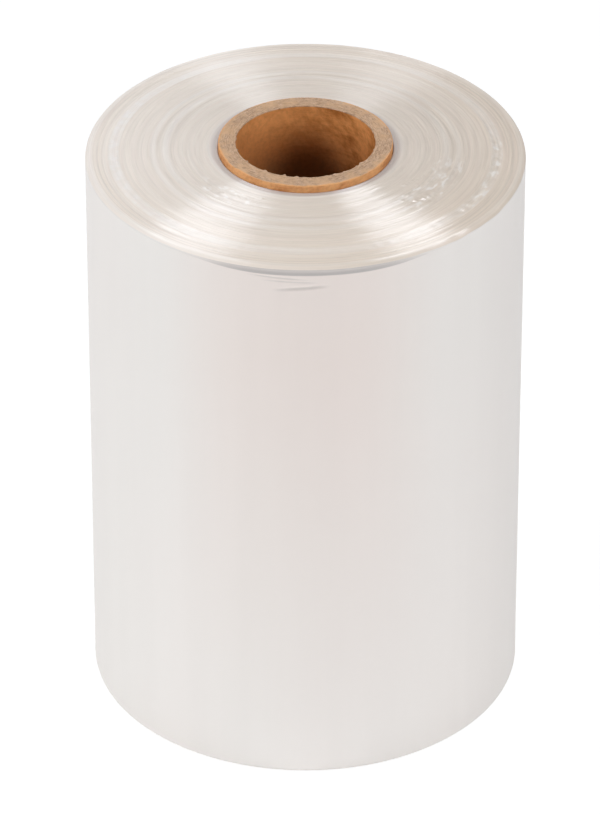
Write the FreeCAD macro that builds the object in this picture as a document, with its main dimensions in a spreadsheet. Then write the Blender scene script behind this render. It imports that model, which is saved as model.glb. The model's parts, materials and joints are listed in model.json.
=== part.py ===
"""Shrink wrap roll: clear shrink film wound on a paperboard core, standing on its end.

Millimetres, +Z up along the roll's axis. The origin is on that axis, at the surface
the roll stands on.

The film is one continuous web, so its turns are one solid. Winding tension differs
from layer to layer, and groups of turns have crept along the axis: every group is the
same width as the web, so a group that stands high at the upper end is sunk by the same
amount at the lower end. The outermost group and the core stand on the floor.
"""
import FreeCAD, Part
import os
import Sketcher

# Name, millimetres, what it is.
SIZES = (
    ("film_width", 330.0, "width of the film web, along the axis"),
    ("roll_diameter", 240.0, "across the outermost turn"),
    ("rim_round", 2.5, "radius of the soft film edges at both rims"),
    ("core_bore", 76.2, "inside diameter of the core, the common 3 inch size"),
    ("core_wall", 9.5, "thickness of the core's wound board, the heavy 3/8 inch grade"),
    ("core_stand_out", 4.0, "how far the core stands out of the highest turns"),
    ("core_edge_wear", 0.8, "width of the bevel worn on the core's cut edges"),
)

# Groups of turns, from the core outward: name, the share of the wound build-up at which
# the group starts, and how far its turns have crept up the axis, in millimetres.
TURN_GROUPS = (
    ("core_turns", 0.00, 2.2),
    ("inner_turns", 0.04, 3.0),
    ("first_slack_turns", 0.15, 2.6),
    ("first_ridge", 0.41, 2.9),
    ("middle_turns", 0.44, 2.0),
    ("second_ridge", 0.50, 2.3),
    ("second_slack_turns", 0.53, 1.5),
    ("rippled_turns", 0.75, 0.7),
    ("outer_turns", 0.82, 0.0),
)

ROLL_RADIUS = "Sizes.roll_diameter / 2"
BORE_RADIUS = "Sizes.core_bore / 2"
CORE_RADIUS = "(Sizes.core_bore / 2 + Sizes.core_wall)"
CORE_LENGTH = "Sizes.film_width + Sizes.inner_turns_creep + Sizes.core_stand_out"
SAME_RADIUS_MM = 1e-4


def make_sizes(document):
    """The sheet of driving dimensions that every sketch and feature reads."""
    sheet = document.addObject("Spreadsheet::Sheet", "Sizes")
    rows = [(name, value, meaning) for name, value, meaning in SIZES]
    for group, start_share, creep in TURN_GROUPS:
        rows.append((group + "_start", start_share, "share of the build-up where they start"))
        rows.append((group + "_creep", creep, "how far they have crept up the axis"))
    for row, (name, value, meaning) in enumerate(rows, start=1):
        sheet.set(f"A{row}", name)
        sheet.set(f"B{row}", str(value))
        sheet.set(f"C{row}", meaning)
        sheet.setAlias(f"B{row}", name)
    document.recompute()
    return sheet


def make_body(document, label):
    """A body and an empty sketch on the plane that holds the roll's axis."""
    body = document.addObject("PartDesign::Body", label)
    body.Label = label
    body.Placement = FreeCAD.Placement()
    axial_plane = next(f for f in body.Origin.OriginFeatures if f.Role == "XZ_Plane")
    sketch = body.newObject("Sketcher::SketchObject", label + "_section")
    sketch.AttachmentSupport = (axial_plane, "")
    sketch.MapMode = "FlatFace"
    return body, sketch


def value_of(sheet, expression):
    """What an expression in the sheet's values comes to now, in millimetres."""
    result = sheet.evalExpression(expression.replace("Sizes.", ""))
    return float(getattr(result, "Value", result))


def draw_stepped_section(sheet, sketch, walls, levels):
    """Draw a closed outline of alternating walls (radii) and levels (heights).

    It runs wall, level, wall, level and so on, each given by an expression, and every
    line is held level or upright at that one dimension.
    """
    count = len(walls)
    radii = [value_of(sheet, wall) for wall in walls]
    heights = [value_of(sheet, level) for level in levels]
    for i in range(count):
        after = (i + 1) % count
        wall_foot = FreeCAD.Vector(radii[i], heights[i - 1], 0)
        wall_head = FreeCAD.Vector(radii[i], heights[i], 0)
        level_end = FreeCAD.Vector(radii[after], heights[i], 0)
        sketch.addGeometry(Part.LineSegment(wall_foot, wall_head), False)
        sketch.addGeometry(Part.LineSegment(wall_head, level_end), False)
    lines = 2 * count
    for line in range(lines):
        sketch.addConstraint(Sketcher.Constraint("Coincident", line, 2, (line + 1) % lines, 1))
    for i in range(count):
        wall_line, level_line = 2 * i, 2 * i + 1
        sketch.addConstraint(Sketcher.Constraint("Vertical", wall_line))
        sketch.addConstraint(Sketcher.Constraint("Horizontal", level_line))
        radius = sketch.addConstraint(
            Sketcher.Constraint("DistanceX", -1, 1, wall_line, 1, radii[i]))
        sketch.setExpression(f"Constraints[{radius}]", walls[i])
        height = sketch.addConstraint(
            Sketcher.Constraint("DistanceY", -1, 1, level_line, 1, heights[i]))
        sketch.setExpression(f"Constraints[{height}]", levels[i])


def revolve(body, sketch, name):
    """Turn a section once round the roll's axis."""
    turned = body.newObject("PartDesign::Revolution", name)
    turned.Profile = sketch
    turned.ReferenceAxis = (sketch, ["V_Axis"])
    turned.Angle = 360
    body.Document.recompute()
    return turned


def finish_edges(body, turned, kind, name, radii, setting, size_expression):
    """Round or bevel every circular edge of the given radii, at both ends of a turned piece."""
    edges = []
    for number, edge in enumerate(turned.Shape.Edges, start=1):
        curve = edge.Curve
        if not isinstance(curve, Part.Circle):
            continue
        if any(abs(curve.Radius - radius) < SAME_RADIUS_MM for radius in radii):
            edges.append(f"Edge{number}")
    finished = body.newObject(kind, name)
    finished.Base = (turned, edges)
    finished.setExpression(setting, size_expression)
    body.Tip = finished
    body.Document.recompute()
    return finished


def make_film_roll(document, sheet):
    """The wound film: its ends are stepped where groups of turns have crept."""
    body, sketch = make_body(document, "film_roll")
    starts = [f"{CORE_RADIUS} + Sizes.{group}_start * ({ROLL_RADIUS} - {CORE_RADIUS})"
              for group, _, _ in TURN_GROUPS]
    lower_ends = [f"Sizes.{group}_creep" for group, _, _ in TURN_GROUPS]
    upper_ends = [f"Sizes.film_width + {lower_end}" for lower_end in lower_ends]
    # Up the inner wall, out along the upper end, down the outer wall, back along the lower.
    walls = starts + [ROLL_RADIUS] + starts[:0:-1]
    levels = upper_ends + lower_ends[::-1]
    draw_stepped_section(sheet, sketch, walls, levels)
    turns = revolve(body, sketch, "wound_turns")
    roll_radius = value_of(sheet, ROLL_RADIUS)
    finish_edges(body, turns, "PartDesign::Fillet", "soft_rims", [roll_radius],
                 "Radius", "Sizes.rim_round")
    return body


def make_core(document, sheet):
    """The paperboard tube that the film is wound on, as long as the roll and a little more."""
    body, sketch = make_body(document, "core")
    draw_stepped_section(sheet, sketch, [BORE_RADIUS, CORE_RADIUS], [CORE_LENGTH, "0"])
    tube = revolve(body, sketch, "wound_board")
    edge_radii = [value_of(sheet, BORE_RADIUS), value_of(sheet, CORE_RADIUS)]
    finish_edges(body, tube, "PartDesign::Chamfer", "worn_edges", edge_radii,
                 "Size", "Sizes.core_edge_wear")
    return body


def check(document, bodies):
    """Stop before anything is written if a feature failed or a shape is no single solid."""
    document.recompute()
    for item in document.Objects:
        if "Invalid" in item.State or "Error" in item.State:
            raise RuntimeError(f"{item.Label} did not compute: {item.State}")
    for body in bodies:
        shape = body.Shape
        if shape.isNull() or not shape.isValid() or len(shape.Solids) != 1:
            raise RuntimeError(f"{body.Label} is not one valid solid")


def main():
    document = FreeCAD.newDocument("ShrinkWrapRoll")
    sheet = make_sizes(document)
    bodies = [make_film_roll(document, sheet), make_core(document, sheet)]
    check(document, bodies)
    os.makedirs("parts", exist_ok=True)
    for body in bodies:
        body.Shape.exportStep(os.path.join("parts", body.Label + ".step"))
        print(f"{body.Label}: {body.Shape.Volume / 1000:.1f} cm3, {body.Shape.BoundBox}")


main()
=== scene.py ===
"""Shrink wrap roll: the looks of the wound film and its paperboard core.

Metres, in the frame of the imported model: +Z up along the roll's axis, with the origin on
the surface that the roll stands on. The camera looks along +Y and down, so the front of
the roll is at -Y and its right side at +X.
"""
import json
import math

import bpy
import numpy as np
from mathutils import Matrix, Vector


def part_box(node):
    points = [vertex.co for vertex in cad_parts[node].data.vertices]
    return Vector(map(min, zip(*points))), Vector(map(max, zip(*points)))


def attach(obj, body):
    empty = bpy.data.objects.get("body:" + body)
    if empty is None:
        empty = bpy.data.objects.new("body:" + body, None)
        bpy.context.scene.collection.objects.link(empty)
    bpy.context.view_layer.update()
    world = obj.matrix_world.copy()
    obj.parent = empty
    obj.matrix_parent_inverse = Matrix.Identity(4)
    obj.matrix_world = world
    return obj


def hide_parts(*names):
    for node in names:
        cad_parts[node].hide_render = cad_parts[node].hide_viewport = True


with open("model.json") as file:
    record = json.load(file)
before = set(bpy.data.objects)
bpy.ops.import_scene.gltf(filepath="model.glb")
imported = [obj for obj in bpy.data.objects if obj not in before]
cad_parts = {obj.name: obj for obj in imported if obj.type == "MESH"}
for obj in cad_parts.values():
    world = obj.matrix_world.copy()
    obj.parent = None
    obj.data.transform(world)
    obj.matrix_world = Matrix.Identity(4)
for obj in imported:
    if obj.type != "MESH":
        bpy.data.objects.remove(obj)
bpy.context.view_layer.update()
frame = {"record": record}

MM = 0.001

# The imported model's own sizes.
FILM_LOW, FILM_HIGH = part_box("film_roll")
CORE_LOW, CORE_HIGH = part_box("core")
BORE = next(mount for mount in frame["record"]["mounts"] if mount["name"] == "core_bore")
ROLL_RADIUS = 0.5 * (FILM_HIGH[0] - FILM_LOW[0])
CORE_RADIUS = 0.5 * (CORE_HIGH[0] - CORE_LOW[0])
BORE_RADIUS = BORE["dims"]["r_mm"] * MM
CORE_TOP = CORE_HIGH[2]
# The film's box ends at the turns that have crept up the most.
HIGHEST_CREEP = 3.0 * MM
FILM_WIDTH = FILM_HIGH[2] - HIGHEST_CREEP

rng = np.random.default_rng(7)


# ---------------------------------------------------------------- mesh helpers

def smooth_step(x):
    """From 0 to 1 with soft ends, flat below 0 and above 1."""
    x = np.clip(x, 0.0, 1.0)
    return x * x * (3.0 - 2.0 * x)


def bump(x, centre, half_width):
    """A soft bump of height 1: zero beyond half_width from its centre."""
    return smooth_step(1.0 - np.abs(x - centre) / half_width)


def angle_from(angle, centre_degrees):
    """The signed angle in radians from a direction in degrees, between -pi and pi."""
    return (angle - math.radians(centre_degrees) + math.pi) % (2.0 * math.pi) - math.pi


def columns_round(count):
    """The angles of that many columns round the axis."""
    return np.arange(count) * 2.0 * math.pi / count


def same_all_round(values, columns):
    """One value a ring, repeated in every column."""
    return np.repeat(np.asarray(values, dtype=float)[:, None], columns, axis=1)


def turned_mesh(name, sections, angles):
    """A closed mesh of rings round the axis.

    Each section is (radii, heights, material): arrays of (rings, columns), and the material
    of the faces from each of its rings to the next. The last ring joins the first.
    """
    radii = np.concatenate([section[0] for section in sections])
    heights = np.concatenate([section[1] for section in sections])
    materials = np.concatenate([np.full(len(section[0]), section[2]) for section in sections])
    rings, columns = radii.shape
    points = np.stack([radii * np.cos(angles), radii * np.sin(angles), heights], axis=-1)
    ring, column = np.arange(rings)[:, None], np.arange(columns)[None, :]
    ring_after, column_after = (ring + 1) % rings, (column + 1) % columns
    corners = [ring * columns + column, ring_after * columns + column,
               ring_after * columns + column_after, ring * columns + column_after]
    faces = np.stack([np.broadcast_to(corner, (rings, columns)) for corner in corners], axis=-1)
    mesh = bpy.data.meshes.new(name)
    mesh.from_pydata(points.reshape(-1, 3).tolist(), [], faces.reshape(-1, 4).tolist())
    mesh.polygons.foreach_set("use_smooth", np.ones(rings * columns, dtype=bool))
    mesh.polygons.foreach_set("material_index", np.repeat(materials, columns))
    piece = bpy.data.objects.new(name, mesh)
    bpy.context.scene.collection.objects.link(piece)
    print(name, "triangles", 2 * rings * columns)
    return piece


# ---------------------------------------------------------------- the wound film

# Points round the film, and the radius of its rims' round.
FILM_COLUMNS = 640
RIM_ROUND = 2.5 * MM

# The crept turns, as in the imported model: radius in mm, how far the turns there have crept up.
CREEP = ((47.6, 2.6), (50.2, 2.6), (51.4, 3.0), (62.0, 2.7), (76.0, 2.5), (79.0, 2.2),
         (86.0, 1.6), (101.5, 1.0), (108.0, 0.1), (120.0, 0.0))
# Turns that stand proud of that: radius, half width and height in mm.
RIDGES = ((76.5, 2.0, 0.16), (83.4, 2.0, 0.15), (69.3, 0.9, 0.16), (87.6, 0.8, 0.16),
          (54.6, 0.8, 0.22), (57.4, 0.9, 0.18), (64.0, 0.8, 0.14), (93.0, 0.8, 0.15),
          (96.6, 0.8, 0.14), (101.2, 0.7, 0.22), (108.2, 0.9, 0.30))
# Grooves, the deepest between the slack outer turns: radius, half width and depth in mm.
GROOVES = ((111.0, 0.8, 0.34), (113.6, 0.8, 0.34), (115.8, 0.7, 0.24), (80.2, 1.0, 0.20),
           (73.2, 0.8, 0.22), (89.4, 0.8, 0.18), (109.6, 0.6, 0.20))
# The slack ring's ripples.
RIPPLE_RADIUS = 104.6 * MM
RIPPLE_HALF_WIDTH = 3.4 * MM
RIPPLE_COUNT = 94
RIPPLE_HEIGHT = 0.46 * MM
# How strong the ripples are all round, and where they are stronger: the direction in degrees,
# how far from it in radians, and by how much.
RIPPLES_ALL_ROUND = 0.18
RIPPLED_SIDES = ((-10.0, 0.85, 0.82), (176.0, 0.70, 0.65))
# Places where turns are crushed: radius in mm, direction in degrees, half width, height in mm.
KINKS = ((72.5, -22, 2.8, 0.26), (86.0, -20, 1.7, 0.44), (74.0, -10, 1.6, 0.36),
         (77.0, -26, 1.7, 0.44), (80.0, -31, 2.8, -0.28), (83.5, -26, 2.6, -0.26),
         (78.0, -38, 1.8, 0.30), (76.0, -47, 1.8, 0.26), (82.5, -38, 2.8, 0.24),
         (105.4, 1, 1.7, 0.56), (104.2, -5, 1.6, 0.40), (104.8, -11, 1.6, 0.48),
         (104.0, -17, 1.8, 0.40), (104.6, -25, 1.8, 0.28), (104.2, -33, 1.8, 0.14),
         (76.5, -152, 2.4, 0.22), (103.5, -148, 2.6, 0.24), (61.0, 52, 1.8, 0.22),
         (98.0, 128, 2.0, 0.20))
# More of them, in a patch: how many, the ranges of their radii, directions and half widths,
# and how far each is raised or sunk.
PATCH_KINKS = 36
PATCH_RADII = (69.0, 88.0)
PATCH_DIRECTIONS = (-46.0, -16.0)
PATCH_HALF_WIDTHS = (1.1, 2.4)
PATCH_HEIGHT = 0.26
# Lines along which turns are torn up: the radius in mm and the direction of each end. Each is a
# row of kinks, with how far they stray from it in mm and degrees, and their ranges in mm.
TEARS = (((66.0, -37.0), (73.5, -17.0)), ((73.5, -17.0), (87.0, -14.0)),
         ((72.0, -33.0), (84.0, -22.0)), ((80.0, -44.0), (88.0, -30.0)),
         ((71.0, -147.0), (60.0, -115.0)))
TEAR_STEPS = 14
TEAR_STRAY = (0.4, 0.6)
TEAR_HALF_WIDTHS = (0.9, 1.7)
TEAR_HEIGHTS = (0.20, 0.52)
# How far above the CAD's highest turns a kink may stand.
HIGHEST_KINK = 0.6 * MM
# The upper end's rings of turns: the first and the last one's distance from the core and from
# the roll's edge, and their spacing, in mm. Arcs of single turns stand proud of the rest.
FIRST_RING = 0.3
LAST_RING = 2.6
RING_SPACING = 0.72
PROUD_ARCS = 150
# The lower end's innermost ring: its radius in mm.
LOWER_INNER = 48.0


def creep_at(radii):
    """How far the turns have crept up at each radius."""
    places, amounts = zip(*CREEP)
    return np.interp(radii / MM, places, amounts) * MM


def single_turns(rings, angles):
    """Each ring of turns stands a little higher or lower, unevenly along its way."""
    level = rng.normal(0.0, 0.050, rings)
    drift = np.convolve(rng.normal(0.0, 0.10, rings), np.ones(4) / 4.0, "same")
    relief = same_all_round(level + drift, len(angles))
    for waves, share in ((1, 0.5), (2, 0.4), (5, 0.25)):
        phase = rng.uniform(0.0, 2.0 * math.pi, rings)[:, None]
        relief = relief * (1.0 + share * np.sin(waves * angles + phase))
    for _ in range(PROUD_ARCS):
        ring = rng.integers(2, rings - 2)
        away = angle_from(angles, rng.uniform(0.0, 360.0))
        half_length = math.radians(rng.uniform(3.0, 16.0))
        relief[ring] += rng.uniform(0.06, 0.22) * bump(away, 0.0, half_length)
    return relief * MM


def ridges_and_grooves(radii, angles):
    """The relief of groups of turns: proud ridges that wander a little, and round grooves."""
    relief = np.zeros((len(radii), len(angles)))
    for radius, half_width, height in RIDGES:
        wander = 0.15 * MM * np.sin(2.0 * angles + radius)
        relief += height * MM * bump(radii[:, None], radius * MM + wander, half_width * MM)
    for radius, half_width, depth in GROOVES:
        relief -= depth * MM * bump(radii[:, None], radius * MM, half_width * MM)
    return relief


def ripples(radii, angles):
    """Small waves in a slack ring of turns: strongest on the right, fainter on the left."""
    strength = RIPPLES_ALL_ROUND
    for direction, reach, more in RIPPLED_SIDES:
        strength = strength + more * bump(angle_from(angles, direction), 0.0, reach)
    wander = 2.4 * np.sin(5.0 * angles + 0.4) + 1.5 * np.sin(13.0 * angles) + np.sin(31.0 * angles)
    wave = np.sin(RIPPLE_COUNT * angles + wander)
    uneven = 0.5 + 0.5 * np.sin(19.0 * angles + 1.0) * np.sin(7.0 * angles)
    middle = RIPPLE_RADIUS + 0.5 * MM * np.sin(9.0 * angles)
    across = bump(radii[:, None], middle, RIPPLE_HALF_WIDTH)
    return RIPPLE_HEIGHT * strength * uneven * wave * across


def kinks(radii, angles):
    """Crushed and torn turns: each kink is a soft bump or hollow, longer round the roll."""
    relief = np.zeros((len(radii), len(angles)))
    patch = [(rng.uniform(*PATCH_RADII), rng.uniform(*PATCH_DIRECTIONS),
              rng.uniform(*PATCH_HALF_WIDTHS), rng.choice((-PATCH_HEIGHT, PATCH_HEIGHT)))
             for _ in range(PATCH_KINKS)]
    for start, end in TEARS:
        for share in np.linspace(0.0, 1.0, TEAR_STEPS):
            radius, direction = np.array(start) + share * np.subtract(end, start)
            radius += rng.normal(0.0, TEAR_STRAY[0])
            direction += rng.normal(0.0, TEAR_STRAY[1])
            patch.append((radius, direction, rng.uniform(*TEAR_HALF_WIDTHS),
                          rng.uniform(*TEAR_HEIGHTS)))
    for radius, direction, half_width, height in (*KINKS, *patch):
        along = radius * MM * angle_from(angles, direction)
        away = np.hypot((radii[:, None] - radius * MM) * 1.6, along * 0.8)
        relief += height * MM * bump(away, 0.0, half_width * MM)
    return relief


# Creases under the front rim: direction in degrees and how far each side of it they run, how
# far below the rim they are there, their slope round the roll, half width and depth in mm.
CREASES = ((-97.0, 9.0, 4.4, 6.0, 0.7, 0.50), (-94.0, 8.0, 6.6, 3.0, 0.7, 0.30),
           (-91.0, 8.0, 10.4, -11.0, 1.4, 0.80))
# The slack turns above them: how far round the roll they reach in radians, and their hollow's
# drop below the rim's round, half width and depth.
SLACK_REACH = 0.9
SLACK_DROP = 0.9 * MM
SLACK_HALF_WIDTH = 2.2 * MM
SLACK_DEPTH = 0.35 * MM
# The web's free end: its direction, and how much further out the last turn stands there.
FREE_END = 62.0
LAST_TURN = 0.15 * MM
# How far the outermost turns' edge hangs down, in mm: all round, and more than that in one
# direction, with how far from it in radians. It fades out that far down the side.
SAG_ALL_ROUND = 0.10
SAG_MORE = 0.70
SAG_DIRECTION = -38.0
SAG_REACH = 0.6
SAG_FADE = 8.0 * MM


def side_relief(drops, angles):
    """The side's relief on the roll's radius, 0 or inward, at each drop below the rim's round."""
    turn = (angles - math.radians(FREE_END)) % (2.0 * math.pi) / (2.0 * math.pi)
    relief = -LAST_TURN * same_all_round(np.ones(len(drops)), len(angles)) * turn
    for direction, half_length, drop, slope, half_width, depth in CREASES:
        along = angle_from(angles, direction)
        line = (drop + slope * along) * MM
        ends = smooth_step(1.6 * (1.0 - np.abs(along) / math.radians(half_length)))
        relief -= depth * MM * bump(drops[:, None], line, half_width * MM) * ends
    slack = bump(angle_from(angles, -90), 0.0, SLACK_REACH)
    return relief - SLACK_DEPTH * slack * bump(drops[:, None], SLACK_DROP, SLACK_HALF_WIDTH)


def rim_sag(angles):
    """How far the outermost turns' edge hangs down: unevenly, and most at the front right."""
    hanging = bump(angle_from(angles, SAG_DIRECTION), 0.0, SAG_REACH)
    waves = 0.5 + 0.3 * np.sin(21.0 * angles + 0.6) + 0.2 * np.sin(47.0 * angles + 2.0)
    return (SAG_ALL_ROUND + SAG_MORE * hanging) * waves * MM


def make_film():
    """The wound film: its upper end with every crept ring, the side, and a plain lower end."""
    angles = columns_round(FILM_COLUMNS)
    first, last = CORE_RADIUS / MM + FIRST_RING, ROLL_RADIUS / MM - LAST_RING
    radii = np.arange(first, last, RING_SPACING) * MM
    upper = (FILM_WIDTH + creep_at(radii)[:, None] + single_turns(len(radii), angles)
             + ridges_and_grooves(radii, angles) + ripples(radii, angles) + kinks(radii, angles))
    upper = np.minimum(upper, FILM_HIGH[2] + HIGHEST_KINK)

    # The soft rims, and the side between them: its rings are closest where the creases are.
    turn = np.radians(np.arange(80, -1, -10))
    rim_radii = ROLL_RADIUS - RIM_ROUND * (1.0 - np.cos(turn))
    rim_heights = FILM_WIDTH - RIM_ROUND * (1.0 - np.sin(turn))
    drops = np.concatenate([np.arange(0.4, 5.3, 0.44), np.arange(5.9, 13.0, 0.62),
                            [22, 80, 160, 240, 300]]) * MM
    side_radii = ROLL_RADIUS + side_relief(drops, angles)
    side_heights = FILM_WIDTH - RIM_ROUND - drops
    sag = rim_sag(angles)
    side_sag = sag * smooth_step(1.0 - drops / SAG_FADE)[:, None]
    foot_turn = np.radians(np.array((0, 30, 60, 90)))
    foot_radii = ROLL_RADIUS - RIM_ROUND * (1.0 - np.cos(foot_turn))
    foot_heights = RIM_ROUND * (1.0 - np.sin(foot_turn))
    lower_radii = np.array([place for place, _ in CREEP[-2:0:-1]] + [LOWER_INNER]) * MM

    def ring(values):
        return same_all_round(values, FILM_COLUMNS)

    # The rims look like the ends, apart from the rings next to the side.
    end, side = 0, 1
    sections = [
        (ring(radii), upper, end),
        (ring(rim_radii[:6]), ring(rim_heights[:6]) - sag, end),
        (ring(rim_radii[6:]), ring(rim_heights[6:]) - sag, side),
        (side_radii, ring(side_heights) - side_sag, side),
        (ring(foot_radii[:2]), ring(foot_heights[:2]), side),
        (ring(foot_radii[2:]), ring(foot_heights[2:]), end),
        (ring(lower_radii), ring(creep_at(lower_radii)), end),
    ]
    film = turned_mesh("wound_film", sections, angles)
    film.data.materials.append(film_end_material())
    film.data.materials.append(film_side_material())
    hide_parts("film_roll")
    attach(film, "root")


# ---------------------------------------------------------------- the core

# Points round the core, and the radius of its worn edges' round.
CORE_COLUMNS = 640
CORE_EDGE = 0.9 * MM
# The cut end: its depth below the core's top, how uneven its plies and fibres are, and how
# uneven they may be at most.
FACE_DROP = 0.34 * MM
FACE_UNEVEN = 0.07 * MM
FACE_LIMIT = 0.22 * MM
# Torn fibres at the bore's upper edge: how many, and how far the longest stand into the bore.
BURRS = 46
BURR_REACH = 1.00 * MM
# The dark and the light tone of the plies at the core's outside and in its bore.
OUTER_PLY = ((0.56, 0.225, 0.085), (0.82, 0.420, 0.180))
INNER_PLY = ((0.46, 0.170, 0.042), (0.92, 0.415, 0.145))


def burrs(angles):
    """How far torn fibres stand into the bore from its upper edge, from 0 to about 1."""
    size = 0.10 * np.abs(rng.normal(0.0, 1.0, len(angles)))
    for _ in range(BURRS):
        away = angle_from(angles, rng.uniform(0.0, 360.0))
        half_length = rng.uniform(0.7, 2.6) * MM / BORE_RADIUS
        size += rng.uniform(0.15, 0.85) * bump(away, 0.0, half_length)
    return np.minimum(size, 1.1)


def make_core():
    """The core: its cut upper end, worn outer edge, wall, plain lower end and bore."""
    angles = columns_round(CORE_COLUMNS)

    def ring(values):
        return same_all_round(values, CORE_COLUMNS)

    # The cut end: plies at uneven levels, torn fibres, and a ragged inner edge.
    face_radii = ring(np.linspace(BORE_RADIUS + 0.2 * MM, CORE_RADIUS - CORE_EDGE, 26))
    plies = rng.normal(0.0, FACE_UNEVEN, len(face_radii))[:, None]
    fibres = rng.normal(0.0, FACE_UNEVEN, face_radii.shape)
    face = CORE_TOP - FACE_DROP + np.clip(plies + fibres, -FACE_LIMIT, FACE_LIMIT)
    torn = burrs(angles)
    face[0] = CORE_TOP - 0.50 * MM + 0.45 * MM * torn
    face[1] = face[1] + 0.18 * MM * torn
    face_radii[0] -= BURR_REACH * torn
    face_radii[1] -= 0.4 * BURR_REACH * torn
    face = np.minimum(face, CORE_TOP)
    torn_root = ring([BORE_RADIUS]) - 0.3 * BURR_REACH * torn

    turn = np.radians(np.array((65, 40, 15)))
    edge_wear = 0.10 * MM * rng.normal(0.0, 0.5, CORE_COLUMNS)
    edge_radii = ring(CORE_RADIUS - CORE_EDGE * (1.0 - np.cos(turn)))
    edge_heights = CORE_TOP - 0.24 * MM - CORE_EDGE * (1.0 - np.sin(turn))
    edge_heights = ring(edge_heights) + edge_wear
    edge_heights = np.minimum(edge_heights, CORE_TOP)
    wall = np.array((CORE_TOP - 1.6 * MM, CORE_TOP - 5.0 * MM, CORE_TOP - 12.0 * MM, CORE_EDGE))
    foot = np.linspace(CORE_RADIUS - CORE_EDGE, BORE_RADIUS + CORE_EDGE, 6)
    bore = np.concatenate([[CORE_EDGE], np.linspace(10 * MM, CORE_TOP - 62 * MM, 6),
                           np.linspace(CORE_TOP - 55 * MM, CORE_TOP - 2 * MM, 22)])
    uneven = 0.06 * MM * rng.normal(0.0, 1.0, (len(bore), 1)) * np.sin(3.0 * angles + 1.0)

    end, outer_ply, inner_ply = 0, 1, 2
    sections = [
        (face_radii, face, end),
        (edge_radii[:1], edge_heights[:1], end),
        (edge_radii[1:], edge_heights[1:], outer_ply),
        (ring(np.full(len(wall), CORE_RADIUS)), ring(wall), outer_ply),
        (ring(foot), ring(np.zeros(len(foot))), end),
        (ring(np.full(len(bore), BORE_RADIUS)) + uneven, ring(bore), inner_ply),
        (torn_root, ring([CORE_TOP - 0.9 * MM]), end),
    ]
    core = turned_mesh("paperboard_core", sections, angles)
    core.data.materials.append(core_end_material())
    core.data.materials.append(core_ply_material("core_outer_ply", *OUTER_PLY))
    core.data.materials.append(core_ply_material("core_inner_ply", *INNER_PLY, in_bore=True))
    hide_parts("core")
    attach(core, "root")


# ---------------------------------------------------------------- node helpers

def new_material(name):
    """A material with one shader joined to its output."""
    material = bpy.data.materials.new(name)
    material.use_nodes = True
    tree = material.node_tree
    tree.nodes.clear()
    shader = tree.nodes.new("ShaderNodeBsdfPrincipled")
    output = tree.nodes.new("ShaderNodeOutputMaterial")
    tree.links.new(shader.outputs[0], output.inputs["Surface"])
    return material, tree, shader


def add(tree, kind, inputs=None, **settings):
    """Add a node, set its settings, and set or link its inputs. Returns the node."""
    node = tree.nodes.new(kind)
    for name, value in settings.items():
        setattr(node, name, value)
    for socket, value in (inputs or {}).items():
        if isinstance(value, bpy.types.NodeSocket):
            tree.links.new(value, node.inputs[socket])
        else:
            node.inputs[socket].default_value = value
    return node


def calculate(tree, operation, *values, clamp=False):
    inputs = dict(enumerate(values))
    return add(tree, "ShaderNodeMath", inputs, operation=operation, use_clamp=clamp).outputs[0]


def scale_vector(tree, vector, factor):
    return add(tree, "ShaderNodeVectorMath", {0: vector, 3: factor}, operation="SCALE").outputs[0]


def combine_vectors(tree, operation, first, second):
    node = add(tree, "ShaderNodeVectorMath", {0: first, 1: second}, operation=operation)
    return node.outputs["Value" if operation == "DOT_PRODUCT" else "Vector"]


def map_range(tree, value, low, high, to_low, to_high, kind="LINEAR"):
    inputs = {0: value, 1: low, 2: high, 3: to_low, 4: to_high}
    return add(tree, "ShaderNodeMapRange", inputs, interpolation_type=kind).outputs[0]


def ramp(tree, factor, *stops):
    """A colour ramp: stops are (position, colour) with 3 numbers a colour."""
    node = add(tree, "ShaderNodeValToRGB", {0: factor})
    elements = node.color_ramp.elements
    while len(elements) < len(stops):
        elements.new(0.5)
    for element, (position, _) in zip(elements, stops):
        element.position = position
    for element, (_, colour) in zip(elements, stops):
        element.color = (*colour, 1.0)
    return node.outputs[0]


def grey_ramp(tree, factor, *stops):
    return ramp(tree, factor, *[(position, (level,) * 3) for position, level in stops])


def blend_colours(tree, factor, first, second, mode="MIX"):
    node = add(tree, "ShaderNodeMix", {0: factor}, data_type="RGBA", blend_type=mode)
    for socket, value in ((6, first), (7, second)):
        if isinstance(value, bpy.types.NodeSocket):
            tree.links.new(value, node.inputs[socket])
        else:
            node.inputs[socket].default_value = (*value, 1.0)
    return node.outputs[2]


def darken(tree, colour, tone, share=1.0):
    """The colour multiplied by a tone, in full where the share is 1."""
    return blend_colours(tree, share, colour, tone, "MULTIPLY")


def raise_surface(tree, shader, strength, distance, height, **more):
    """Bump the shader's normal by a height: more is the node's other inputs."""
    inputs = {"Strength": strength, "Distance": distance, "Height": height, **more}
    tree.links.new(add(tree, "ShaderNodeBump", inputs).outputs[0], shader.inputs["Normal"])


def noise(tree, vector, scale, detail=2.0, roughness=0.5):
    inputs = {"Vector": vector, "Scale": scale, "Detail": detail, "Roughness": roughness}
    return add(tree, "ShaderNodeTexNoise", inputs).outputs[0]


def places(tree):
    """The place in the object, the distance from its axis, and the unit vector away from it."""
    place = add(tree, "ShaderNodeTexCoord").outputs["Object"]
    flat = combine_vectors(tree, "MULTIPLY", place, (1, 1, 0))
    radius = add(tree, "ShaderNodeVectorMath", {0: flat}, operation="LENGTH").outputs["Value"]
    away = add(tree, "ShaderNodeVectorMath", {0: flat}, operation="NORMALIZE").outputs[0]
    return place, radius, away


def facing(tree, away, degrees):
    """The cosine of the angle between each place's direction and the one in degrees."""
    angle = math.radians(degrees)
    return combine_vectors(tree, "DOT_PRODUCT", away, (math.cos(angle), math.sin(angle), 0))


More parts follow.
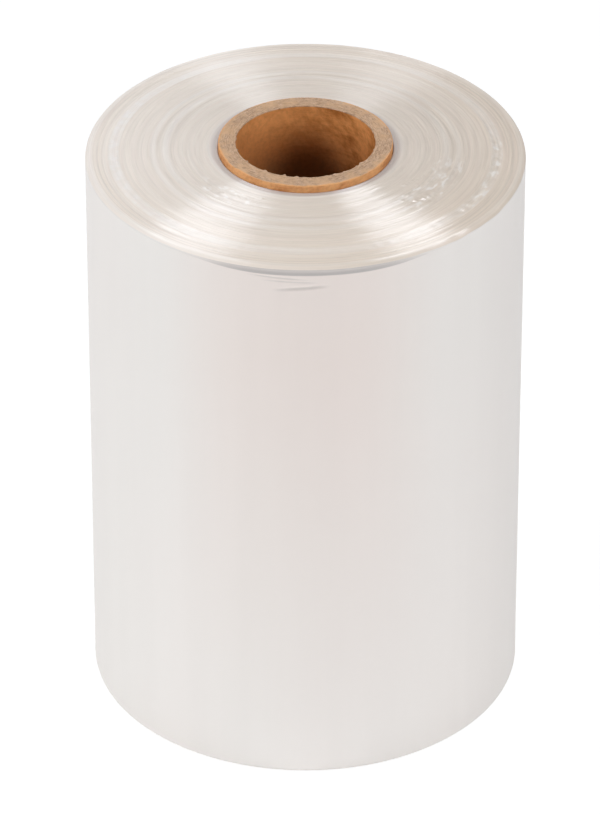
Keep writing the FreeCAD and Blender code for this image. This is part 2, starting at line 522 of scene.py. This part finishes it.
def ring_noise(tree, radius, away, ring_size, changes_round, detail=3.0):
    """Noise in rings round the axis, ring_size metres wide, with that many changes a radian."""
    across = calculate(tree, "DIVIDE", radius, ring_size)
    rise = add(tree, "ShaderNodeCombineXYZ", {2: across}).outputs[0]
    vector = combine_vectors(tree, "ADD", scale_vector(tree, away, changes_round), rise)
    return noise(tree, vector, 1.0, detail)


# ---------------------------------------------------------------- materials

# Tones of the film's edges on the wound end.
PLAIN = (0.905, 0.810, 0.710)
PALE = (0.930, 0.855, 0.775)
TAN = (0.880, 0.780, 0.675)
# The sunken ring's tone is painted shade: dark grey where the ring next to the core lies in shadow.
SUNKEN_SHADE = (0.660, 0.590, 0.555)
RIPPLED = (0.955, 0.905, 0.850)
CRUMPLED = (0.840, 0.785, 0.725)
CRUSHED = (0.810, 0.722, 0.625)
# The rings they lie in: radius in mm, and the tone there.
END_RINGS = ((47.6, SUNKEN_SHADE), (50.6, SUNKEN_SHADE), (52.8, PALE), (54.4, PLAIN), (74.2, PLAIN),
             (75.4, PALE), (77.6, PALE), (78.8, PLAIN), (80.4, TAN), (81.6, PLAIN), (82.6, PALE),
             (84.2, PALE), (85.4, PLAIN), (97.0, PLAIN), (100.8, TAN), (102.2, PALE),
             (106.8, PALE), (108.0, PLAIN), (110.0, PLAIN), (110.8, TAN), (112.6, TAN),
             (113.4, PLAIN), (115.4, TAN), (117.6, PALE))
# Finer rings that darken the end: ring size, changes a radian, detail, and the dark tone.
FINER_RINGS = ((3.5 * MM, 0.9, 3.0, (0.975, 0.965, 0.950)),
               (1.9 * MM, 2.4, 3.0, (1.000, 0.980, 0.985)),
               (0.8 * MM, 1.6, 5.0, (0.910, 0.910, 0.910)))
# The grooves' painted shade: how much darker for each mm of depth, and its width as a share.
GROOVE_PAINTED_SHADE = 0.36
GROOVE_SHADE_WIDTH = 0.8
# Painted shade on the end: darker and browner in one direction, and darker nearer the core.
RIGHT_PAINTED_SHADE = (0.770, 0.710, 0.635)
RIGHT_SHADE_TOWARDS = (0.97, -0.25, 0.0)
NEAR_CORE_PAINTED_SHADE = (0.90, 0.90, 0.90)
# Where creases show: radius and half width of the ring, the direction and how far from it in
# degrees, and the changes a radian.
CRUMPLES = ((80.0 * MM, 10.0 * MM, -29.0, 24.0, 12.0),
            (65.0 * MM, 8.0 * MM, -131.0, 22.0, 12.0),
            (RIPPLE_RADIUS, RIPPLE_HALF_WIDTH, -14.0, 30.0, 18.0))
# Where the edges lean a little further round the roll: the direction, the radius that this
# starts at and the one where it is full as shares of the roll's, and how far they lean.
LEANING = ((-47.0, 0.66, 0.80, -0.05), (118.0, 0.38, 0.42, -0.06), (62.0, 0.38, 0.42, 0.05))


def film_end_material():
    """Thousands of clear edges side by side: milky rings, with a sheen that runs across them."""
    material, tree, shader = new_material("film_end")
    place, radius, away = places(tree)
    tree.links.new(film_end_colour(tree, place, radius, away), shader.inputs["Base Color"])
    rim = map_range(tree, radius, ROLL_RADIUS - 2.0 * MM, ROLL_RADIUS - 0.6 * MM, 0.39, 0.60)
    tree.links.new(rim, shader.inputs["Roughness"])
    shader.inputs["IOR"].default_value = 2.8
    shader.inputs["Anisotropic"].default_value = 1.0
    shader.inputs["Anisotropic Rotation"].default_value = 0.25
    tangent = add(tree, "ShaderNodeTangent", direction_type="RADIAL", axis="Z").outputs[0]
    tree.links.new(tangent, shader.inputs["Tangent"])
    fine = ring_noise(tree, radius, away, *FINER_RINGS[-1][:3])
    arcs = ring_noise(tree, radius, away, 0.70 * MM, 8.0)
    height = calculate(tree, "MULTIPLY_ADD", arcs, 0.8, fine)
    normal = leaning_normal(tree, radius, away)
    raise_surface(tree, shader, 0.5, 0.07 * MM, height, Normal=normal)
    return material


def film_end_colour(tree, place, radius, away):
    """The wound end's tones in rings, with its slack ring, crushed turns and creases, and painted
    shade in its grooves and sunken ring, towards the right and nearer the core.
    """
    inner, outer = END_RINGS[0][0] * MM, ROLL_RADIUS
    stops = [((ring * MM - inner) / (outer - inner), tone) for ring, tone in END_RINGS]
    wander = ring_noise(tree, radius, away, 20 * MM, 1.5)
    along = calculate(tree, "ADD", map_range(tree, radius, inner, outer, 0.0, 1.0),
                      map_range(tree, wander, 0.0, 1.0, -0.014, 0.014))
    colour = ramp(tree, along, *stops)
    colour = blend_colours(tree, slack_waves(tree, radius, away), colour, RIPPLED)
    colour = blend_colours(tree, crumples(tree, radius, away, 0.50, 0.34), colour, CRUSHED)

    uneven = map_range(tree, ring_noise(tree, radius, away, 9 * MM, 3.0), 0.36, 0.60, 0.15, 1.0)
    # Painted shade in the grooves: darker the deeper each one is.
    for middle, half_width, depth in GROOVES:
        groove = ring_mask(tree, radius, middle * MM, GROOVE_SHADE_WIDTH * half_width * MM)
        share = calculate(tree, "MULTIPLY", groove, uneven)
        colour = darken(tree, colour, (1.0 - GROOVE_PAINTED_SHADE * depth,) * 3, share)
    for size, changes_round, detail, dark in FINER_RINGS:
        lines = ring_noise(tree, radius, away, size, changes_round, detail)
        colour = darken(tree, colour, ramp(tree, lines, (0.34, dark), (0.62, (1, 1, 1))))

    # Painted shade: darker and browner towards the right, and darker nearer the core.
    across = combine_vectors(tree, "DOT_PRODUCT", place, RIGHT_SHADE_TOWARDS)
    right_shade = map_range(tree, across, -0.95 * ROLL_RADIUS, 0.9 * ROLL_RADIUS, 0.0, 1.0)
    colour = darken(tree, colour, RIGHT_PAINTED_SHADE, right_shade)
    near_core_shade = map_range(tree, radius, 0.53 * ROLL_RADIUS, 0.93 * ROLL_RADIUS, 1.0, 0.0)
    colour = darken(tree, colour, NEAR_CORE_PAINTED_SHADE, near_core_shade)
    return blend_colours(tree, crumples(tree, radius, away, 0.55, 0.66), colour, CRUMPLED)


def ring_mask(tree, radius, middle, half_width):
    """1 in a ring, fading out to its edges."""
    off = calculate(tree, "ABSOLUTE", calculate(tree, "SUBTRACT", radius, middle))
    return map_range(tree, off, 0.5 * half_width, half_width, 1.0, 0.0, "SMOOTHSTEP")


def slack_waves(tree, radius, away):
    """The pale waves of the slack ring, most on the left and the right."""
    waves = map_range(tree, ring_noise(tree, radius, away, 6 * MM, 22.0), 0.44, 0.60, 0.0, 0.9)
    ring = ring_mask(tree, radius, RIPPLE_RADIUS, RIPPLE_HALF_WIDTH)
    to_side = calculate(tree, "ABSOLUTE", facing(tree, away, 0.0))
    strength = map_range(tree, to_side, 0.50, 0.90, 0.30, 1.0)
    return calculate(tree, "MULTIPLY", calculate(tree, "MULTIPLY", ring, waves), strength)


def crumples(tree, radius, away, none, full):
    """Where creases show: from none to full are the noise's values that they start and end at."""
    share = 0.0
    for middle, half_width, direction, reach, changes_round in CRUMPLES:
        near = map_range(tree, facing(tree, away, direction), math.cos(math.radians(reach)),
                         math.cos(math.radians(0.5 * reach)), 0.0, 1.0)
        lines = ring_noise(tree, radius, away, 2.8 * MM, changes_round, 1.0)
        marks = map_range(tree, lines, none, full, 0.0, 0.7)
        here = calculate(tree, "MULTIPLY", near, ring_mask(tree, radius, middle, half_width))
        share = calculate(tree, "MAXIMUM", share, calculate(tree, "MULTIPLY", here, marks))
    return share


def leaning_normal(tree, radius, away):
    """The normal of the film's cut edges: they lean outward, and sway a little along their way."""
    swaying = ring_noise(tree, radius, away, 1.2 * MM, 1.8, 4.0)
    sway = map_range(tree, swaying, 0.3, 0.7, -0.055, 0.055)
    for direction, start, full, most in LEANING:
        near = map_range(tree, facing(tree, away, direction), 0.80, 0.98, 0.0, 1.0)
        amount = map_range(tree, radius, start * ROLL_RADIUS, full * ROLL_RADIUS, 0.0, most)
        sway = calculate(tree, "MULTIPLY_ADD", near, amount, sway)
    leaning = ring_noise(tree, radius, away, 0.9 * MM, 3.5, 4.0)
    outward = scale_vector(tree, away, map_range(tree, leaning, 0.3, 0.7, 0.02, 0.50))
    onward = combine_vectors(tree, "CROSS_PRODUCT", (0, 0, 1), away)
    lean = combine_vectors(tree, "ADD", outward, scale_vector(tree, onward, sway))
    normal = add(tree, "ShaderNodeNewGeometry").outputs["Normal"]
    normal = combine_vectors(tree, "ADD", normal, lean)
    return add(tree, "ShaderNodeVectorMath", {0: normal}, operation="NORMALIZE").outputs[0]


# The side's two tints, in soft clouds.
SIDE_TINTS = ((0.891, 0.852, 0.807), (0.891, 0.841, 0.797))
# The direction of its front, and the painted shade that the tints are multiplied by there, high
# up there, and high up elsewhere: the side darker towards the front and the top.
SIDE_FRONT = (-0.02, -1.0, 0.0)
FRONT_PAINTED_SHADE = (0.957, 0.957, 0.957)
FRONT_TOP_PAINTED_SHADE = (0.955, 0.900, 0.885)
UPPER_PAINTED_SHADE = (0.930, 0.930, 0.930)
# The painted shade under the slack turns at the rim, the direction of most of it, and the
# painted shade in the creases.
RIM_PAINTED_SHADE = (0.510, 0.475, 0.455)
RIM_SHADE_DIRECTION = (0.03, -0.9995, 0.0)
CREASE_PAINTED_SHADE = (0.62, 0.58, 0.55)


def film_side_material():
    """The outermost turns, milky over the film below: a satin face, with painted shade towards the
    front and the top, under its slack rim and along its creases.
    """
    material, tree, shader = new_material("film_side")
    place, _, away = places(tree)
    height = add(tree, "ShaderNodeSeparateXYZ", {0: place}).outputs[2]
    clouds = noise(tree, combine_vectors(tree, "MULTIPLY", place, (1, 1, 0.45)), 7.0)
    streaks = noise(tree, combine_vectors(tree, "MULTIPLY", place, (1, 1, 0.04)), 70.0, 3.0)
    colour = ramp(tree, clouds, (0.38, SIDE_TINTS[0]), (0.60, SIDE_TINTS[1]))
    colour = darken(tree, colour, grey_ramp(tree, streaks, (0.35, 0.988), (0.65, 1.0)))
    # Painted shade: the side darker at the front and high up, and pinker high up at the front.
    front = map_range(tree, combine_vectors(tree, "DOT_PRODUCT", away, SIDE_FRONT),
                      0.76, 1.0, 0.0, 1.0, "SMOOTHSTEP")
    high_up = map_range(tree, height, 0.02, FILM_WIDTH - 0.06, 0.0, 1.0)
    front_top = calculate(tree, "MULTIPLY", front, high_up)
    upper = calculate(tree, "SUBTRACT", high_up, front_top)
    for share, shade in ((front, FRONT_PAINTED_SHADE), (front_top, FRONT_TOP_PAINTED_SHADE), (upper, UPPER_PAINTED_SHADE)):
        colour = darken(tree, colour, shade, share)
    # Painted shade in a grey band under the slack turns at the rim.
    colour = blend_colours(tree, slack_rim_shade(tree, height, away), colour, RIM_PAINTED_SHADE)
    # Painted shade along each crease.
    for crease in CREASES:
        line = crease_shade_line(tree, height, away, crease)
        colour = blend_colours(tree, line, colour, CREASE_PAINTED_SHADE)
    tree.links.new(colour, shader.inputs["Base Color"])
    shader.inputs["Roughness"].default_value = 0.48
    shader.inputs["Specular IOR Level"].default_value = 0.3
    raise_surface(tree, shader, 0.20, 0.10 * MM, streaks)
    return material


def slack_rim_shade(tree, height, away):
    """Where shade is painted just under the rim, below the slack outer turns: most at the front."""
    front = combine_vectors(tree, "DOT_PRODUCT", away, RIM_SHADE_DIRECTION)
    reach = map_range(tree, front, 0.80, 0.99, 2.4 * MM, 5.2 * MM, "SMOOTHSTEP")
    drop = calculate(tree, "SUBTRACT", FILM_WIDTH - 0.3 * MM, height)
    share = calculate(tree, "DIVIDE", drop, reach)
    band = grey_ramp(tree, share, (0.0, 0.0), (0.30, 0.65), (0.80, 1.0), (0.90, 1.0), (1.0, 0.0))
    strength = map_range(tree, front, 0.84, 0.97, 0.12, 1.0, "SMOOTHSTEP")
    return calculate(tree, "MULTIPLY", band, strength)


def crease_shade_line(tree, height, away, crease):
    """The soft line of painted shade along one crease."""
    direction, half_length, drop, slope, half_width, _ = crease
    along = facing(tree, away, direction + 90.0)
    middle = calculate(tree, "MULTIPLY_ADD", along, slope * MM, (drop + 0.3 * half_width) * MM)
    below = calculate(tree, "SUBTRACT", FILM_WIDTH - RIM_ROUND, height)
    off = calculate(tree, "ABSOLUTE", calculate(tree, "SUBTRACT", below, middle))
    near = map_range(tree, off, 0.0, half_width * MM, 0.55, 0.0, "SMOOTHSTEP")
    ends = map_range(tree, facing(tree, away, direction), math.cos(math.radians(half_length)),
                     0.9995, 0.0, 1.0, "SMOOTHSTEP")
    return calculate(tree, "MULTIPLY", near, ends)


# The core's cut end: the tones of its plies, of torn fibres, and of its dark specks.
END_PLIES = ((0.34, (0.42, 0.262, 0.160)), (0.48, (0.54, 0.352, 0.226)),
             (0.64, (0.66, 0.452, 0.302)))
TORN_FIBRE = (0.68, 0.43, 0.25)
SPECK = (0.74, 0.74, 0.74)


def core_end_material():
    """Cut grey board: plies in rings, with dark specks and pale torn fibres."""
    material, tree, shader = new_material("core_end")
    place, radius, away = places(tree)
    plies = ring_noise(tree, radius, away, 0.6 * MM, 14.0, 5.0)
    specks = noise(tree, place, 1100.0, 3.0, 0.6)
    patches = noise(tree, place, 120.0, 3.0)
    colour = ramp(tree, plies, *END_PLIES)
    colour = darken(tree, colour, ramp(tree, specks, (0.36, SPECK), (0.47, (1, 1, 1))))
    worn = calculate(tree, "MULTIPLY", map_range(tree, patches, 0.44, 0.62, 0.0, 1.0),
                     map_range(tree, radius, BORE_RADIUS, CORE_RADIUS, 0.25, 0.95))
    colour = blend_colours(tree, worn, colour, TORN_FIBRE)
    outer = map_range(tree, calculate(tree, "MULTIPLY_ADD", patches, 2.4 * MM, radius),
                      CORE_RADIUS - 0.1 * MM, CORE_RADIUS + 1.4 * MM, 0.0, 1.0, "SMOOTHSTEP")
    colour = blend_colours(tree, outer, colour, OUTER_PLY[1])
    tree.links.new(colour, shader.inputs["Base Color"])
    shader.inputs["Roughness"].default_value = 0.92
    shader.inputs["Specular IOR Level"].default_value = 0.2
    raise_surface(tree, shader, 0.8, 0.22 * MM, calculate(tree, "ADD", specks, plies))
    return material


# The plies' smears: how far they turn round the tube for each metre up it, in radians, and the
# place in the noise that they are taken from.
SPIRAL_TURN = 15.0
SMEARS_FROM = (0.30, 0.35, 0.0)
# What the bore's ply is multiplied by: on the right, where its smears show most, and deep in,
# where it is painted shade.
BORE_SMEARED = (0.90, 0.88, 0.85)
BORE_DEPTH_SHADE = (0.27, 0.29, 0.36)
# How far in the painted shade starts, how much further at the left and the right, how far it
# wanders with the smears, and over how far it fades in.
DEPTH_SHADE_FROM = 22.0 * MM
DEPTH_SHADE_LATER = 12.0 * MM
DEPTH_SHADE_WANDER = 30.0 * MM
DEPTH_SHADE_FADE = 36.0 * MM


def core_ply_material(name, dark, light, in_bore=False):
    """A smooth kraft ply: mottled, with smears and fine streaks round the tube."""
    material, tree, shader = new_material(name)
    place, _, away = places(tree)
    height = add(tree, "ShaderNodeSeparateXYZ", {0: place}).outputs[2]
    turn = {"Vector": place, "Angle": calculate(tree, "MULTIPLY", height, -SPIRAL_TURN)}
    wound = add(tree, "ShaderNodeVectorRotate", turn, rotation_type="Z_AXIS").outputs[0]
    along = add(tree, "ShaderNodeVectorMath", {0: wound, 1: (1, 1, 0.8), 2: SMEARS_FROM},
                operation="MULTIPLY_ADD").outputs[0]
    smears = noise(tree, along, 65.0, 6.0, 0.68)
    streaks = noise(tree, combine_vectors(tree, "MULTIPLY", place, (1, 1, 7)), 70.0, 5.0, 0.6)
    both = calculate(tree, "MULTIPLY_ADD", streaks, 0.22,
                     calculate(tree, "MULTIPLY", smears, 0.78))
    colour = ramp(tree, both, (0.40, dark), (0.57, light))
    if in_bore:
        colour = bore_colour(tree, colour, light, smears, height, away)
    grain = grey_ramp(tree, noise(tree, place, 500.0, 3.0), (0.38, 0.90), (0.56, 1.0))
    tree.links.new(darken(tree, colour, grain), shader.inputs["Base Color"])
    tree.links.new(map_range(tree, both, 0.35, 0.6, 0.75, 0.55), shader.inputs["Roughness"])
    shader.inputs["Specular IOR Level"].default_value = 0.02
    raise_surface(tree, shader, 0.4, 0.15 * MM, both)
    return material


def bore_colour(tree, colour, light, smears, height, away):
    """The bore's ply: its smears fade towards the left; painted shade deep in from both ends."""
    to_right = facing(tree, away, 0.0)
    smeared = map_range(tree, to_right, -0.6, 0.6, 0.25, 1.0)
    colour = blend_colours(tree, smeared, light, colour)
    colour = darken(tree, colour, BORE_SMEARED, smeared)
    # Painted shade deep in the bore from both ends, starting deeper at the left and the right.
    depth = calculate(tree, "MINIMUM", height, calculate(tree, "SUBTRACT", CORE_TOP, height))
    wandering = calculate(tree, "MULTIPLY_ADD", smears, DEPTH_SHADE_WANDER, depth)
    later = map_range(tree, calculate(tree, "ABSOLUTE", to_right), 0.1, 0.65, 0.0, DEPTH_SHADE_LATER,
                      "SMOOTHSTEP")
    depth_shade = map_range(tree, calculate(tree, "SUBTRACT", wandering, later), DEPTH_SHADE_FROM,
                     DEPTH_SHADE_FROM + DEPTH_SHADE_FADE, 0.0, 1.0, "SMOOTHSTEP")
    return darken(tree, colour, BORE_DEPTH_SHADE, depth_shade)


# ---------------------------------------------------------------- studio

def seen_directly(tree):
    """1 for a ray from the camera, or one that a glossy or clear surface sends on."""
    path = add(tree, "ShaderNodeLightPath").outputs
    sent_on = calculate(tree, "MAXIMUM", path["Is Glossy Ray"], path["Is Transmission Ray"])
    return calculate(tree, "MAXIMUM", path["Is Camera Ray"], sent_on)


# The floor: half its width, its paint, and the paint that takes the shadow where it is seen.
FLOOR_HALF = 6.0
PAINT = (0.88, 0.88, 0.88, 1.0)
SHADOWED = (0.30, 0.30, 0.30, 1.0)
# The white sweep's glow: near the roll and far from it, and the distances it rises between.
SWEEP_LEVELS = (0.82, 1.0)
SWEEP_REACH = (0.7, 2.2)


def make_floor():
    """A pale floor: lit as matt paint, and seen as a white sweep that keeps the roll's shadow."""
    half = FLOOR_HALF
    corners = [(-half, -half, 0), (half, -half, 0), (half, half, 0), (-half, half, 0)]
    mesh = bpy.data.meshes.new("floor")
    mesh.from_pydata(corners, [], [(0, 1, 2, 3)])
    floor = bpy.data.objects.new("floor", mesh)
    bpy.context.scene.collection.objects.link(floor)
    material = bpy.data.materials.new("floor_white")
    material.use_nodes = True
    tree = material.node_tree
    tree.nodes.clear()
    matt = add(tree, "ShaderNodeBsdfDiffuse", {"Color": PAINT}).outputs[0]
    shadowed = add(tree, "ShaderNodeBsdfDiffuse", {"Color": SHADOWED}).outputs[0]
    spot = add(tree, "ShaderNodeTexCoord").outputs["Object"]
    reach = add(tree, "ShaderNodeVectorMath", {0: spot}, operation="LENGTH").outputs["Value"]
    level = map_range(tree, reach, *SWEEP_REACH, *SWEEP_LEVELS, "SMOOTHSTEP")
    glow = add(tree, "ShaderNodeEmission", {"Color": (1, 1, 1, 1), "Strength": level}).outputs[0]
    sweep = add(tree, "ShaderNodeAddShader", {0: shadowed, 1: glow}).outputs[0]
    surface = add(tree, "ShaderNodeMixShader", {0: seen_directly(tree), 1: matt, 2: sweep})
    add(tree, "ShaderNodeOutputMaterial", {"Surface": surface.outputs[0]})
    floor.data.materials.append(material)


# The soft light's level, and how it rises with the direction it comes from.
LIGHT_LEVEL = 0.53
LIGHT_RISE = (-0.115, 0.17, -0.39)


def make_world():
    """Soft light from all round, more from below, the left and the rear; seen as white."""
    world = bpy.data.worlds.new("studio")
    bpy.context.scene.world = world
    world.use_nodes = True
    tree = world.node_tree
    tree.nodes.clear()
    direction = add(tree, "ShaderNodeTexCoord").outputs["Generated"]
    rise = combine_vectors(tree, "DOT_PRODUCT", direction, LIGHT_RISE)
    levels = {0: seen_directly(tree), 2: calculate(tree, "ADD", rise, LIGHT_LEVEL), 3: 1.0}
    strength = add(tree, "ShaderNodeMix", levels, data_type="FLOAT").outputs[0]
    light = add(tree, "ShaderNodeBackground", {"Color": (1, 1, 1, 1), "Strength": strength})
    add(tree, "ShaderNodeOutputWorld", {"Surface": light.outputs[0]})


# The lamps' colours: the softboxes' and the front fill's are a little cooler than white.
WHITE = (1.0, 1.0, 1.0)
COOL = (0.94, 0.975, 1.04)
PALE_BLUE = (0.97, 1.0, 1.04)


def make_softbox(name, azimuth, elevation, distance, size, power, colour=WHITE, seen_in_gloss=True):
    """An area lamp that faces the roll's upper part; its size is its width and height."""
    lamp = bpy.data.lights.new(name, "AREA")
    lamp.shape = "RECTANGLE"
    lamp.size, lamp.size_y = size
    lamp.energy = power
    lamp.color = colour
    softbox = bpy.data.objects.new(name, lamp)
    softbox.visible_glossy = seen_in_gloss
    softbox.visible_camera = False
    place_looking_at(softbox, (0.0, 0.0, 0.8 * CORE_TOP), azimuth, elevation, distance)
    bpy.context.scene.collection.objects.link(softbox)


def place_looking_at(thing, target, azimuth, elevation, distance):
    """Put a lamp or camera at that direction from the target, facing it. Azimuth is from +X."""
    azimuth, elevation = math.radians(azimuth), math.radians(elevation)
    thing.location = (target[0] + distance * math.cos(elevation) * math.cos(azimuth),
                      target[1] + distance * math.cos(elevation) * math.sin(azimuth),
                      target[2] + distance * math.sin(elevation))
    thing.rotation_euler = (math.pi / 2.0 - elevation, 0.0, azimuth + math.pi / 2.0)


# The camera: its lens and sensor in mm, and the place it looks at, from how far and how high.
LENS = 285.2
SENSOR = 36.0
LOOKS_AT = (-0.003, 0.0, 0.1643)
CAMERA_DISTANCE = 3.6
CAMERA_ELEVATION = 33.0


def make_camera():
    """A long lens in front of the roll."""
    data = bpy.data.cameras.new("camera")
    data.sensor_width = SENSOR
    data.lens = LENS
    data.clip_end = 50.0
    camera = bpy.data.objects.new("camera", data)
    place_looking_at(camera, LOOKS_AT, -90.0, CAMERA_ELEVATION, CAMERA_DISTANCE)
    bpy.context.scene.collection.objects.link(camera)
    bpy.context.scene.camera = camera


make_camera()
make_floor()
make_world()
# Each lamp's azimuth, elevation and distance, its size and its power.
make_softbox("left_softbox", 180.0, 54.0, 1.5, (0.30, 1.00), 8.3, COOL)
make_softbox("right_softbox", -2.0, 60.0, 1.5, (0.26, 0.70), 7.8, COOL)
make_softbox("front_fill", -90.0, 15.0, 2.5, (1.8, 0.7), 17.5, PALE_BLUE, seen_in_gloss=False)
make_softbox("fill_left", -150.0, -6.0, 1.4, (0.8, 0.15), 2.7, seen_in_gloss=False)
make_softbox("fill_right", -48.0, -8.0, 1.3, (0.8, 0.15), 2.6, seen_in_gloss=False)
make_softbox("rear_fill", 90.0, 20.0, 1.8, (0.8, 0.3), 1.8, seen_in_gloss=False)
make_film()
make_core()

bpy.context.scene.view_settings.view_transform = "Standard"
